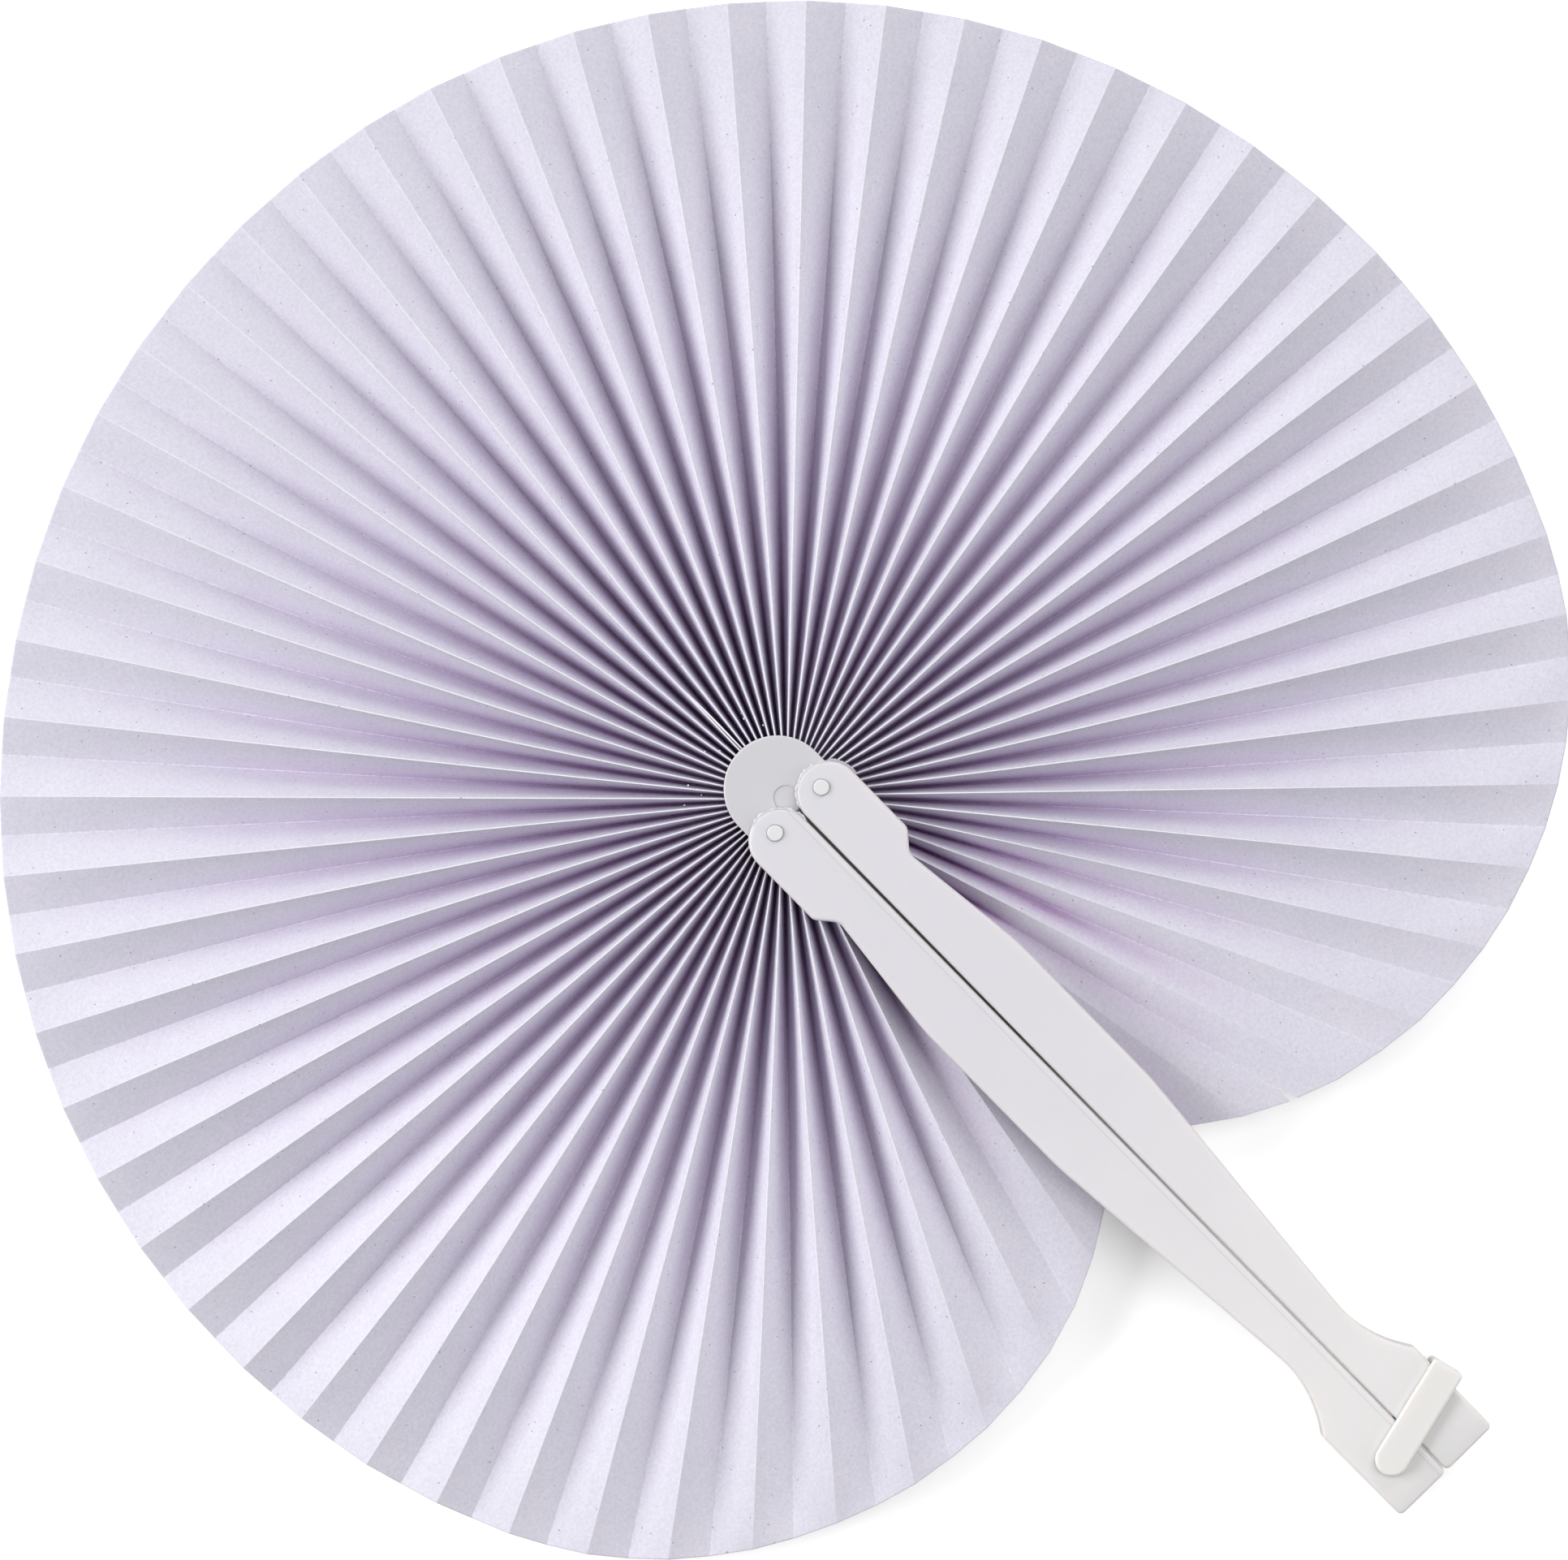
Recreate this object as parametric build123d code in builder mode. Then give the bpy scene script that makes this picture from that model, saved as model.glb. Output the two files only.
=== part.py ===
from build123d import *
import math
import os

# Round folding fan, open. The pleated paper leaf stands round a small hub, and the two
# arms that carry its ends lie side by side as the handle. A U-shaped clip holds their feet.
# Millimetres. The origin is the centre of the hub's round end, on the hub's back face.
# +Z is the front of the fan, and the handle points along -Y.

# Paper leaf
leaf_radius = 127.1
leaf_centre_x = 0.65
leaf_centre_y = -1.1
rim_shift_x = 1.2
rim_shift_y = -1.65
strip_width = 6.75
paper_thickness = 0.12
rim_slope = 17.5
leaf_half_sweep = 173.6
leaf_turn = -0.6
end_spread = 9.1
end_strips = 17
end_round_radius = 170.0
least_pleat_depth = 0.7
inner_squeeze = 17.1
squeeze_start = 90.0
fold_shares = (0.0, 0.12, 0.28, 0.46, 0.64, 0.8, 0.92, 1.0)

# Hub
hub_radius = 8.6
hub_plate = 1.0
hub_edge_radius = 0.3
core_radius = 5.4
core_drop = 2.1
leaf_clearance = 0.1
core_clearance = 0.2
mark_radius = 2.1
mark_drop = 2.0
mark_depth = 0.15

# Pins
pin_spacing = 10.4
pin_drop = 4.75
pin_radius = 1.3
pin_proud = 0.35
pin_edge_radius = 0.25
pin_clearance = 0.05

# Arms
arm_length = 148.1
arm_half_gap = 0.25
right_splay = 0.26
left_splay = -0.12
arm_width = 10.35
arm_wall = 1.1
arm_web = 1.05
arm_end_wall = 1.2
arm_clearance = 0.08
arm_edge_radius = 0.55
head_drop = 1.5
shoulder_length = 14.2
shoulder_radius = 1.6
step_length = 3.2
neck_width = 7.65
neck_radius = 2.2
belly_length = 39.5
belly_end_length = 70.0
belly_width = 10.2
belly_radius = 45.0
waist_inset = 31.6
waist_width = 6.25
foot_length = 17.8
foot_width = 10.2
foot_corner_radius = 1.0
ramp_length = 5.6
ramp_drop = 0.75
web_start = 0.4
glue_line = 5.3

# Clip
clip_length = 20.2
clip_width = 5.45
clip_reach = 11.95
clip_inset = 8.9
clip_turn = 13.7
clip_wall = 1.4
clip_bridge = 1.05
clip_clearance = 0.08
clip_edge_radius = 0.5
clip_corner_radius = 0.7

# One overrun for every cut
overrun = 2.0

# Depths, counted from the hub's back face
leaf_half_depth = strip_width / 2 + leaf_clearance
mid_depth = hub_plate + leaf_half_depth
channel_half_depth = mid_depth + arm_clearance
arm_half_depth = channel_half_depth + arm_wall
clip_slot_half = arm_half_depth + clip_clearance
clip_half_depth = clip_slot_half + clip_wall
lobe_radius = hub_radius - pin_spacing / 2
web_inner_x = arm_half_gap + arm_web


def from_back(angle, radius):
    """Place at this angle from +Y, counted towards -X, and at this distance from zero."""
    turn = math.radians(angle)
    return -radius * math.sin(turn), radius * math.cos(turn)


# Rule of the folds. Fold zero points straight away from the handle; even folds are ridges
# on the front and odd folds are ridges on the back. The pitch is even, and opens out over
# the last strips, where the rounded ends of the sheet leave the rim shorter.
rim_pitch = strip_width * math.cos(math.radians(rim_slope))
nominal_strip = math.degrees(2 * math.asin(rim_pitch / leaf_radius / 2))
last_fold = round((leaf_half_sweep - end_spread) / nominal_strip)
strip_angle = (leaf_half_sweep - end_spread) / last_fold
glued_edge = last_fold + 1
inner_radius = core_radius + core_clearance


def fold_angle(fold):
    side = math.copysign(1, fold)
    past = max(abs(fold) - (last_fold - end_strips), 0) / end_strips
    return strip_angle * fold + side * end_spread * past**3


def rim_point(fold):
    """Outer end of a fold: on the round rim, or on the rounded end of the sheet."""
    side = math.copysign(1, fold)
    angle = fold_angle(fold) + leaf_turn
    along_x, along_y = from_back(angle, 1)
    ahead = rim_shift_x * along_x + rim_shift_y * along_y
    aside = rim_shift_x * along_y - rim_shift_y * along_x
    run = strip_width * max(abs(fold) - (last_fold - end_strips), 0)
    drop = end_round_radius - math.sqrt(end_round_radius**2 - run**2)
    radius = ahead + math.sqrt(leaf_radius**2 - aside**2) - drop
    if abs(fold) == glued_edge:
        return -side * glue_line, leaf_centre_y - radius
    return leaf_centre_x + radius * along_x, leaf_centre_y + radius * along_y


def inner_point(fold):
    """Inner end of a fold, beside the core; the folds next to the handle are squeezed."""
    side = math.copysign(1, fold)
    if abs(fold) == glued_edge:
        x = web_inner_x + 2 * paper_thickness
        return -side * x, -core_drop - math.sqrt(inner_radius**2 - x**2)
    angle = fold_angle(fold)
    past = max(abs(angle) - squeeze_start, 0) / (leaf_half_sweep - squeeze_start)
    x, y = from_back(angle - side * inner_squeeze * past**2, inner_radius)
    return x, y - core_drop


def plan_point(fold, share):
    inner = inner_point(fold)
    rim = rim_point(fold)
    return tuple(a + (b - a) * share for a, b in zip(inner, rim))


def across(fold):
    """Unit direction in plan that crosses a fold, towards the next fold."""
    inner = inner_point(fold)
    rim = rim_point(fold)
    length = math.dist(inner, rim)
    return -(rim[1] - inner[1]) / length, (rim[0] - inner[0]) / length


def spacing(fold, other, share):
    """Distance in plan between two folds, square to the first."""
    side_x, side_y = across(fold)
    here = plan_point(fold, share)
    there = plan_point(other, share)
    return abs((there[0] - here[0]) * side_x + (there[1] - here[1]) * side_y)


def strip_spread(fold, share):
    """Plan width and depth of the paper strips beside a fold; a strip keeps its width."""
    if abs(fold) == glued_edge:
        beside = fold - int(math.copysign(1, fold))
        spread = spacing(fold, beside, share)
    else:
        spread = (spacing(fold, fold - 1, share) + spacing(fold, fold + 1, share)) / 2
    depth = math.sqrt(max(strip_width**2 - spread**2, least_pleat_depth**2))
    return spread, depth


def fold_height(fold, share):
    """Height of a fold's middle line above the leaf's own middle."""
    up = 1 if fold % 2 == 0 else -1
    depth = strip_spread(fold, share)[1]
    if abs(fold) == glued_edge:
        beside = fold - int(math.copysign(1, fold))
        return fold_height(beside, share) + up * depth
    return up * depth / 2


def fold_curve(fold, skin, offset_across=0):
    """Curve of one fold on the front skin (skin 1) or the back skin (skin -1)."""
    ridge_skin = 1 if fold % 2 == 0 else -1
    side_x, side_y = across(fold)
    points = []
    for share in fold_shares:
        x, y = plan_point(fold, share)
        spread, depth = strip_spread(fold, share)
        if abs(fold) == glued_edge:
            slant = -ridge_skin * math.copysign(1, fold)
            aside = skin * slant * paper_thickness / 2 * depth / strip_width
            rise = skin * paper_thickness / 2 * spread / strip_width
        elif skin == ridge_skin:
            aside = offset_across * paper_thickness / 2
            rise = skin * paper_thickness / 2 * (strip_width - depth) / spread
        else:
            aside = 0
            rise = skin * paper_thickness / 2 * strip_width / spread
        height = mid_depth + fold_height(fold, share) + rise
        points.append(Vector(x + aside * side_x, y + aside * side_y, height))
    return Edge.make_spline(points)


def end_line(first, second, end):
    return Edge.make_line(first @ end, second @ end)


def corner_face(first, second, third, end):
    return Face(Wire.make_polygon([first @ end, second @ end, third @ end]))


def leaf_solid():
    """The whole pleated sheet: two skins of ruled strips, closed along every edge."""
    faces = []
    ends = (0, 1)
    left_sides = {}
    right_sides = {}
    for fold in range(-glued_edge, glued_edge + 1):
        ridge_skin = 1 if fold % 2 == 0 else -1
        crease = fold_curve(fold, -ridge_skin)
        if abs(fold) == glued_edge:
            edge = fold_curve(fold, ridge_skin)
            faces.append(Face.make_surface_from_curves(edge, crease))
            left_sides[fold] = {ridge_skin: edge, -ridge_skin: crease}
            right_sides[fold] = left_sides[fold]
            continue
        before = fold_curve(fold, ridge_skin, -1)
        after = fold_curve(fold, ridge_skin, 1)
        faces.append(Face.make_surface_from_curves(before, after))
        for end in ends:
            faces.append(corner_face(before, after, crease, end))
        left_sides[fold] = {ridge_skin: before, -ridge_skin: crease}
        right_sides[fold] = {ridge_skin: after, -ridge_skin: crease}
    for fold in range(-glued_edge, glued_edge):
        here = right_sides[fold]
        there = left_sides[fold + 1]
        for skin in (1, -1):
            faces.append(Face.make_surface_from_curves(here[skin], there[skin]))
        for end in ends:
            front = end_line(here[1], there[1], end)
            back = end_line(here[-1], there[-1], end)
            faces.append(Face.make_surface_from_curves(front, back))
    return Solid(Shell(faces))


with BuildPart() as paper_leaf:
    add(leaf_solid())


# Hub: a spool moulded in one, with a stub pin for each arm on its front and on its back
pin_places = [(-pin_spacing / 2, -pin_drop), (pin_spacing / 2, -pin_drop)]
pin_reach = arm_half_depth + pin_proud

with BuildPart() as hub:
    for plate_base in (0, 2 * mid_depth - hub_plate):
        with BuildSketch(Plane.XY.offset(plate_base)):
            Circle(hub_radius)
            with Locations((0, -pin_drop)):
                Rectangle(2 * hub_radius, hub_radius, align=(Align.CENTER, Align.MAX), mode=Mode.SUBTRACT)
            with Locations((0, -pin_drop / 2)):
                Rectangle(2 * hub_radius, pin_drop)
            with Locations(*pin_places):
                Circle(lobe_radius)
        extrude(amount=hub_plate)
    outside = hub.faces().filter_by(Axis.Z).group_by(Axis.Z)
    fillet(outside[0].edges() + outside[-1].edges(), radius=hub_edge_radius)
    with BuildSketch(Plane.XY.offset(hub_plate)):
        with Locations((0, -core_drop)):
            Circle(core_radius)
        with Locations((0, -pin_drop)):
            Rectangle(2 * core_radius, 2 * core_radius, align=(Align.CENTER, Align.MAX), mode=Mode.SUBTRACT)
    extrude(amount=2 * leaf_half_depth)
    with BuildSketch(Plane.XY.offset(2 * mid_depth - mark_depth)):
        with Locations((0, -mark_drop)):
            Circle(mark_radius)
    extrude(amount=mark_depth + overrun, mode=Mode.SUBTRACT)
    for front in (1, -1):
        outer_face = mid_depth + front * (mid_depth - hub_plate / 2)
        with BuildSketch(Plane.XY.offset(outer_face)):
            with Locations(*pin_places):
                Circle(pin_radius)
        extrude(amount=front * (pin_reach - mid_depth + hub_plate / 2))
    tips = hub.faces().filter_by(Axis.Z).group_by(Axis.Z)
    fillet(tips[0].edges() + tips[-1].edges(), radius=pin_edge_radius)


# Arms: each is one half of the case, a channel whose web faces the other arm when the fan
# is open. Its own plane has the pin at zero, the arm along -Y and the web on the -X side.
head_radius = arm_width / 2
inner_x = arm_half_gap - pin_spacing / 2
head_x = inner_x + head_radius
outer_x = inner_x + arm_width
foot_x = inner_x + foot_width
neck_y = -shoulder_length - step_length
waist_y = waist_inset - arm_length
foot_y = foot_length - arm_length
arm_axis = Axis((pin_spacing / 2, -pin_drop, 0), (0, 0, 1))


def arm_plane(height):
    turn = math.radians(right_splay)
    origin = (pin_spacing / 2, -pin_drop, mid_depth + height)
    return Plane(origin=origin, x_dir=(math.cos(turn), -math.sin(turn), 0), z_dir=(0, 0, 1))


def side_plane():
    """Plane through the pin, along the arm and square to the fan's front."""
    start = arm_plane(0)
    return Plane(origin=start.origin, x_dir=-start.y_dir, z_dir=start.x_dir)


def outline_edges(faces):
    """Edges that bound these faces together, without the edges that they share."""
    edges = [edge for face in faces for edge in face.edges()]
    return [edge for edge in edges if sum(edge.is_same(other) for other in edges) == 1]


with BuildPart() as right_arm:
    with BuildSketch(arm_plane(-arm_half_depth)):
        with BuildLine():
            head_top = (head_x, head_radius - head_drop)
            head = ThreePointArc((inner_x, -head_drop), head_top, (outer_x, -head_drop))
            side = FilletPolyline(
                head @ 1,
                (outer_x, -shoulder_length),
                (inner_x + neck_width, neck_y),
                (inner_x + belly_width, -belly_length),
                (inner_x + belly_width, -belly_end_length),
                (inner_x + waist_width, waist_y),
                radius=[shoulder_radius, neck_radius, belly_radius, belly_radius],
            )
            waist = TangentArc(side @ 1, (foot_x, foot_y), tangent=side % 1)
            Polyline(waist @ 1, (foot_x, -arm_length), (inner_x, -arm_length), head @ 0)
        make_face()
    extrude(amount=2 * arm_half_depth)
    with BuildSketch(side_plane()):
        with BuildLine():
            ramp_start = arm_length - ramp_length
            end_half = arm_half_depth - ramp_drop
            top = Line((-arm_width, arm_half_depth), (ramp_start, arm_half_depth))
            TangentArc(top @ 1, (arm_length, end_half), tangent=(1, 0))
            Line((arm_length, end_half), (arm_length, -end_half))
            bottom = Line((-arm_width, -arm_half_depth), (ramp_start, -arm_half_depth))
            TangentArc(bottom @ 1, (arm_length, -end_half), tangent=(1, 0))
            Line(top @ 0, bottom @ 0)
        make_face()
    extrude(amount=2 * arm_width, both=True, mode=Mode.INTERSECT)
    for x, y in ((foot_x, foot_y), (foot_x, -arm_length), (inner_x, -arm_length)):
        corner = arm_plane(0).from_local_coords(Vector(x, y, 0))
        nearest = right_arm.edges().filter_by(Axis.Z).sort_by_distance(corner)[0]
        fillet(nearest, radius=foot_corner_radius)
    for front in (1, -1):
        skins = right_arm.faces().filter_by(lambda face: front * face.normal_at(None).Z > 0.5)
        fillet(outline_edges(skins), radius=arm_edge_radius)
    with BuildSketch(arm_plane(-channel_half_depth)):
        with Locations((inner_x + arm_web, -arm_length + arm_end_wall)):
            Rectangle(2 * arm_width, 2 * arm_length, align=(Align.MIN, Align.MIN))
        with Locations((head_x, -web_start)):
            Rectangle(2 * arm_width, arm_length, align=(Align.CENTER, Align.MIN))
    extrude(amount=2 * channel_half_depth, mode=Mode.SUBTRACT)
    with BuildSketch(arm_plane(-arm_half_depth - overrun)):
        Circle(pin_radius + pin_clearance)
    extrude(amount=2 * (arm_half_depth + overrun), mode=Mode.SUBTRACT)

# The left arm is the mirror image of the right one, turned to its own splay about its pin
left_turned = mirror(right_arm.part.rotate(arm_axis, right_splay - left_splay), about=Plane.YZ)

with BuildPart() as left_arm:
    add(left_turned)


# Clip: a U of plastic pushed over both feet from the side, a little out of square
def clip_plane(height):
    turn = math.radians(clip_turn)
    origin = (0, -pin_drop - arm_length + clip_inset, mid_depth + height)
    return Plane(origin=origin, x_dir=(math.cos(turn), math.sin(turn), 0), z_dir=(0, 0, 1))


with BuildPart() as clip:
    tip_x = clip_reach - clip_length
    with BuildSketch(clip_plane(-clip_half_depth)):
        with Locations((clip_reach, 0)):
            Rectangle(clip_length - clip_width / 2, clip_width, align=(Align.MAX, Align.CENTER))
        with Locations((tip_x + clip_width / 2, 0)):
            Circle(clip_width / 2)
    extrude(amount=2 * clip_half_depth)
    along = Axis(clip_plane(0).origin, clip_plane(0).x_dir)
    fillet(clip.edges().filter_by(Axis.Z).sort_by(along)[-2:], radius=clip_corner_radius)
    fillet(clip.faces().filter_by(Axis.Z).edges(), radius=clip_edge_radius)
    with BuildSketch(clip_plane(-clip_slot_half)):
        with Locations((clip_reach - clip_bridge, 0)):
            Rectangle(2 * clip_length, clip_width + 2 * overrun, align=(Align.MAX, Align.CENTER))
    extrude(amount=2 * clip_slot_half, mode=Mode.SUBTRACT)


os.makedirs("parts", exist_ok=True)
hub.part.label = "hub"
export_step(hub.part, "parts/hub.step")
paper_leaf.part.label = "paper_leaf"
export_step(paper_leaf.part, "parts/paper_leaf.step")
right_arm.part.label = "right_arm"
export_step(right_arm.part, "parts/right_arm.step")
left_arm.part.label = "left_arm"
export_step(left_arm.part, "parts/left_arm.step")
clip.part.label = "clip"
export_step(clip.part, "parts/clip.step")
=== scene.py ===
import math
import random
from types import SimpleNamespace

import bpy
import numpy as np
from mathutils import Matrix, Vector

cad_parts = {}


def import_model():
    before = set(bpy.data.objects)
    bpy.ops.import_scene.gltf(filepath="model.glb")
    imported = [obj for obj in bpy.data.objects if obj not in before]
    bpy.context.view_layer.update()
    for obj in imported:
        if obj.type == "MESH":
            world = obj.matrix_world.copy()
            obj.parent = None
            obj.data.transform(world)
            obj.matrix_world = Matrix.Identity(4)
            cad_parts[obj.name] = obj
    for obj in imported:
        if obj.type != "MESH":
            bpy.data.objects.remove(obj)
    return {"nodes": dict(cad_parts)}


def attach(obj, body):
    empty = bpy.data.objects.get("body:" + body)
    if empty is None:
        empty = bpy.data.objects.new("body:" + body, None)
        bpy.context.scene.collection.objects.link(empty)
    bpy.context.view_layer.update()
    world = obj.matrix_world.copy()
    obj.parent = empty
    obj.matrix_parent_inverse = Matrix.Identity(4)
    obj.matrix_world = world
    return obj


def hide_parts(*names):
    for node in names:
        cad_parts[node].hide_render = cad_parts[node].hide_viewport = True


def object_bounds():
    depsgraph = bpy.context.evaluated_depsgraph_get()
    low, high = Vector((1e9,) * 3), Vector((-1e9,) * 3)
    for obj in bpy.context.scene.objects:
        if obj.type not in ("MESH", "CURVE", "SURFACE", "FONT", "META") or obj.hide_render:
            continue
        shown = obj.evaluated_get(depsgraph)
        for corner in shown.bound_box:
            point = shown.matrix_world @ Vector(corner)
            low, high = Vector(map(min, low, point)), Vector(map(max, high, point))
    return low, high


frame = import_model()
cad_low, cad_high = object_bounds()

# All lengths here are millimetres in the part's frame, as in the CAD model; MM turns them
# into the scene's metres.
MM = 0.001

# The photograph: its width in pixels, the length of a pixel on the fan, its directions and the
# place under its centre
IMAGE_WIDTH = 1932
PIXEL = 0.13
PHOTO_RIGHT = Vector((0.7115, -0.7027, 0)).normalized()
PHOTO_UP = Vector((0.7027, 0.7115, 0)).normalized()
PHOTO_CENTRE = Vector((1.78, 0.29, 6.5))
# The camera: its lens and the width of its sensor, and how near and how far it sees, in metres
LENS, SENSOR = 300, 36
NEAREST_SEEN, FARTHEST_SEEN = 0.01, 50

# The leaf, by the same rule as the CAD model: the rim is a circle about a centre of its own, all
# strips are as wide, the sheet's corners are rounded and its edges end on the glue line
LEAF_RADIUS = 127.1
LEAF_CENTRE = (0.65, -1.1)
RIM_SHIFT = (1.2, -1.65)
STRIP_WIDTH = 6.75
PAPER = 0.12
RIM_SLOPE = 17.5
HALF_SWEEP = 173.6
LEAF_TURN = -0.6
END_SPREAD = 9.1
END_STRIPS = 17
END_ROUND_RADIUS = 170.0
LEAST_PLEAT = 0.7
# Beside the right arm the last folds are pulled almost flat towards the rim, and beside the left
# arm a few are pulled less: the fold they start after, how many folds it takes, and how flat. They
# get flatter from a place along them on, and those beside the right arm get more painted shade,
# deeper and by an extra amount
FLAT_FROM, FLAT_FOLDS, FLAT_SHARE = 48, 6, 0.9
PULL_FROM, PULL_FOLDS, PULL_SHARE = 53, 3, 0.8
FLAT_START_SHARE, FLAT_RUN_SHARE = 0.05, 0.35
FLAT_SHADE = 0.2
FLAT_EXTRA_SHADE = 0.12
# The rim is torn in at one crease beside the right arm
TORN_FOLD = -55
TEAR_DEPTH = 3.4
TEAR_HALF = 0.5
TORN_ROWS = 3
# The folds don't open evenly: how far every sixth fold is off its even place, in degrees
DRIFT_STEP = 6
FOLD_DRIFT = (
    -0.4, -0.45, -0.1, 0.4, 0.75, 0.7, 0.6, 0.6, 0.15,
    -0.05, -0.1, 0.05, 0.15, 0.4, 0.4, 0.1, 0.1, 0.5, 0.15,
)
# How far the rim is off its even circle at the same folds, in millimetres
RIM_DRIFT = (
    -0.2, -0.35, 0.0, 0.0, -0.2, -0.2, -0.1, 0.0, 0.25,
    0.3, 0.55, 0.6, 0.9, 1.0, 0.9, 0.75, 0.0, -1.1, 0.0,
)
# Small random shifts of each fold, in degrees round the hub and in millimetres up or down
FOLD_JITTER = 0.1
HEIGHT_JITTER = 0.1
JITTER_SEED = 7
# Round the core the last folds are squeezed together, by so many degrees at most
INNER_SQUEEZE = 17.1
SQUEEZE_START = 90.0
CORE_RADIUS = 5.6
CORE_DROP = 2.1
GLUE_LINE = 5.3
GLUE_INNER = 1.54
MID_DEPTH = 4.475
# The rows of the leaf's mesh from the core (0) to the rim (1): two places where their spacing
# changes, how many there are before, between and after them, and the width of the last one
NEAR_SHARE, FAR_SHARE = 0.12, 0.8
NEAR_ROWS, MIDDLE_ROWS, FAR_ROWS = 8, 19, 10
RIM_EDGE = 0.25

# The arms' heads and the hub, by the same sizes as the CAD model
PIN_X = 5.2
PIN_DROP = 4.75
HEAD_RADIUS = 5.175
HEAD_SIDE = 0.225
HEAD_DROP = 1.5
ARM_FRONT = 10.13
HUB_FRONT = 8.95

# Lamps: the key is a large softbox, in metres, and the others are soft suns, in degrees across
KEY_WIDTH, KEY_HEIGHT, KEY_DISTANCE = 1.7, 1.3, 2.2
FILL_ANGLE = 40
WORLD_LEVEL = 0.06

# The floor: its half width in metres, its drop under the fan in millimetres, its shade for light
# that bounces off it, and its glow in the picture
FLOOR_HALF = 6.0
FLOOR_DROP = 0.1
FLOOR_SHADE = (0.8, 0.8, 0.8)
FLOOR_GLOW = 0.4
WHITE = (1.0, 1.0, 1.0)
# Where the fan lies close over it, the floor gets painted shade and no glow, which shows in the seam
# between the arms:
# fully down to the first place along them, in millimetres, and not at all past the second
CONTACT_REACH = 5
CONTACT_SAMPLES = 8
CONTACT_DARK, CONTACT_LIGHT = 0.2, 0.5
SEAM_DARK_TO, SEAM_LIGHT_FROM = -55, -105
SEAM_SHADE = (0.13, 0.09, 0.09)


# Materials

def new_material(name):
    """An empty node material and its Principled shader."""
    material = bpy.data.materials.new(name)
    material.use_nodes = True
    nodes = material.node_tree.nodes
    return material, nodes["Principled BSDF"]


def node(material, kind, **values):
    """A node of this kind, with its settings and its inputs set by name."""
    made = material.node_tree.nodes.new(kind)
    for name, value in values.items():
        if name in made.inputs:
            made.inputs[name].default_value = value
        else:
            setattr(made, name, value)
    return made


def link(material, source, target):
    """Joins an output to an input."""
    material.node_tree.links.new(source, target)


def object_point(material):
    """The place on the object, for its patterns."""
    return node(material, "ShaderNodeTexCoord").outputs["Object"]


def noise(material, point, per_mm, detail=3.0, roughness=0.5, stretch=None):
    """Noise whose grain is about 1 / per_mm millimetres; stretch scales its axes."""
    if stretch:
        mapping = node(material, "ShaderNodeMapping")
        mapping.inputs["Scale"].default_value = stretch
        link(material, point, mapping.inputs["Vector"])
        point = mapping.outputs["Vector"]
    made = node(material, "ShaderNodeTexNoise", Scale=per_mm / MM, Detail=detail, Roughness=roughness)
    link(material, point, made.inputs["Vector"])
    return made.outputs["Fac"]


def ramp(material, factor, stops):
    """A colour ramp over factor, with (place, colour) stops."""
    made = node(material, "ShaderNodeValToRGB")
    elements = made.color_ramp.elements
    while len(elements) < len(stops):
        elements.new(0.5)
    for element, (place, colour) in zip(elements, stops):
        element.position = place
        element.color = (*colour, 1)
    link(material, factor, made.inputs["Fac"])
    return made.outputs["Color"]


# The numbers of a mix node's sockets for colours
MIX_FACTOR, MIX_FIRST, MIX_SECOND, MIX_RESULT = 0, 6, 7, 2


def blend_colours(material, factor, first, second, mode="MIX"):
    """The first colour blended with as much of the second as factor says. Each of the three may be
    a value or a node's output."""
    made = node(material, "ShaderNodeMix", data_type="RGBA", blend_type=mode)
    for value, place in ((factor, MIX_FACTOR), (first, MIX_FIRST), (second, MIX_SECOND)):
        socket = made.inputs[place]
        if isinstance(value, (int, float)):
            socket.default_value = value
        elif isinstance(value, tuple):
            socket.default_value = (*value, 1)
        else:
            link(material, value, socket)
    return made.outputs[MIX_RESULT]


def bump(material, height, distance, strength):
    """A normal for a surface whose fine relief is up to distance millimetres high."""
    made = node(material, "ShaderNodeBump", Distance=distance * MM, Strength=strength)
    link(material, height, made.inputs["Height"])
    return made.outputs["Normal"]


def attribute(material, name):
    """A number painted on the mesh."""
    return node(material, "ShaderNodeAttribute", attribute_name=name).outputs["Fac"]


def calculate(material, operation, first, second=0.0):
    """The result of one operation on two values or outputs."""
    made = node(material, "ShaderNodeMath", operation=operation)
    for value, socket in zip((first, second), made.inputs):
        if isinstance(value, (int, float)):
            socket.default_value = value
        else:
            link(material, value, socket)
    return made.outputs[0]


def coordinate(material, vector, axis):
    """One coordinate of a vector."""
    split = node(material, "ShaderNodeSeparateXYZ")
    link(material, vector, split.inputs[0])
    return split.outputs[axis]


def map_range(material, value, low, high, to_low=0.0, to_high=1.0):
    """Moves a value from the range low to high into the range to_low to to_high, and keeps it there."""
    made = node(material, "ShaderNodeMapRange")
    for name, number in (("From Min", low), ("From Max", high), ("To Min", to_low), ("To Max", to_high)):
        made.inputs[name].default_value = number
    link(material, value, made.inputs["Value"])
    return made.outputs["Result"]


def specks(material, point, per_mm, size, rarity):
    """1 on sparse small dots of about size millimetres, 0 elsewhere."""
    cells = node(material, "ShaderNodeTexVoronoi", Scale=per_mm / MM)
    link(material, point, cells.inputs["Vector"])
    near = calculate(material, "LESS_THAN", cells.outputs["Distance"], size * per_mm)
    split = node(material, "ShaderNodeSeparateColor")
    link(material, cells.outputs["Color"], split.inputs[0])
    rare = calculate(material, "GREATER_THAN", split.outputs[0], rarity)
    return calculate(material, "MULTIPLY", near, rare)
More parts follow.
